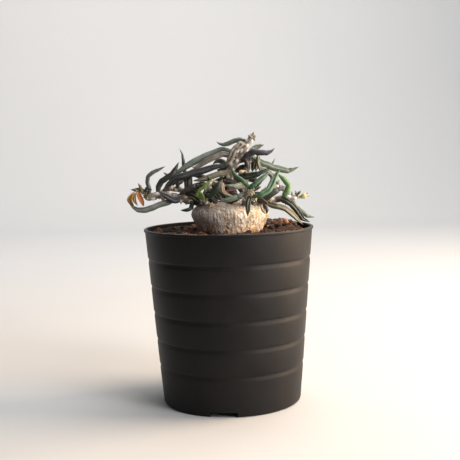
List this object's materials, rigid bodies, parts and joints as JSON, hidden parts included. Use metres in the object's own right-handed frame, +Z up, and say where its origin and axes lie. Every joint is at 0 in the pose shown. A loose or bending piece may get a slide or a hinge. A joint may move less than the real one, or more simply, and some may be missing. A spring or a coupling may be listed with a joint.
{
  "type": "potted euphorbia",
  "caption": "Small caudex euphorbia with cylindrical grooved leaves on knobbly stems, in soil in a round tapered plastic pot with a notched foot ring.",
  "frame": {"origin": "on the surface the pot stands on, at the middle of the whole object's outline seen from above", "axes": "+Z up along the pot's axis, -Y the front, +X to the right of someone who faces the front"},
  "size_m": [0.0982, 0.09, 0.1415],
  "materials": {
    "bract": "matte",
    "bud": "satin",
    "caudex": "matte",
    "leaf_brown": "satin",
    "leaf_cream": "satin",
    "leaf_dark": "satin",
    "leaf_deep": "satin",
    "leaf_fresh": "satin",
    "leaf_green": "satin",
    "leaf_grey": "satin",
    "leaf_olive": "satin",
    "leaf_purple": "satin",
    "leaf_red": "satin",
    "leaf_sage": "satin",
    "leaf_tan": "satin",
    "pot": "matte",
    "soil": "matte",
    "stem": "matte"
  },
  "bodies": {
    "root": {"bud": "bud", "caudex": "caudex", "dried_bract": "bract", "leaf_back_hanging": "leaf_grey", "leaf_back_inner": "leaf_green", "leaf_back_left_low": "leaf_sage", "leaf_back_left_out": "leaf_grey", "leaf_back_left_up": "leaf_dark", "leaf_back_right_low": "leaf_green", "leaf_back_right_out": "leaf_purple", "leaf_back_right_up": "leaf_grey", "leaf_back_side": "leaf_purple", "leaf_back_upright": "leaf_sage", "leaf_bright_curl": "leaf_fresh", "leaf_broad": "leaf_deep", "leaf_brown": "leaf_brown", "leaf_crest": "leaf_purple", "leaf_crest_small": "leaf_grey", "leaf_dark_arch": "leaf_purple", "leaf_dark_inner": "leaf_dark", "leaf_dark_middle": "leaf_deep", "leaf_dark_right": "leaf_dark", "leaf_dry_crescent": "leaf_cream", "leaf_front_hanging": "leaf_deep", "leaf_front_left": "leaf_sage", "leaf_green_back": "leaf_green", "leaf_green_upper": "leaf_green", "leaf_inner": "leaf_sage", "leaf_left_curl": "leaf_grey", "leaf_left_thick": "leaf_dark", "leaf_left_upright": "leaf_grey", "leaf_long_arch": "leaf_grey", "leaf_long_green": "leaf_green", "leaf_long_right": "leaf_sage", "leaf_low_long": "leaf_grey", "leaf_low_right": "leaf_olive", "leaf_mauve": "leaf_purple", "leaf_olive": "leaf_olive", "leaf_over_rim": "leaf_dark", "leaf_over_rim_pale": "leaf_sage", "leaf_red": "leaf_red", "leaf_shoot": "leaf_olive", "leaf_spike_right": "leaf_grey", "leaf_tan": "leaf_tan", "leaf_teal": "leaf_deep", "leaf_top_back": "leaf_dark", "leaf_top_grey": "leaf_grey", "leaf_top_tan": "leaf_tan", "leaf_young": "leaf_fresh", "pot": "pot", "soil": "soil", "stem_back": "stem", "stem_back_left": "stem", "stem_back_right": "stem", "stem_front": "stem", "stem_front_left": "stem", "stem_left": "stem", "stem_right": "stem", "stem_top": "stem", "stem_upper_right": "stem"}
  },
  "joints": []
}
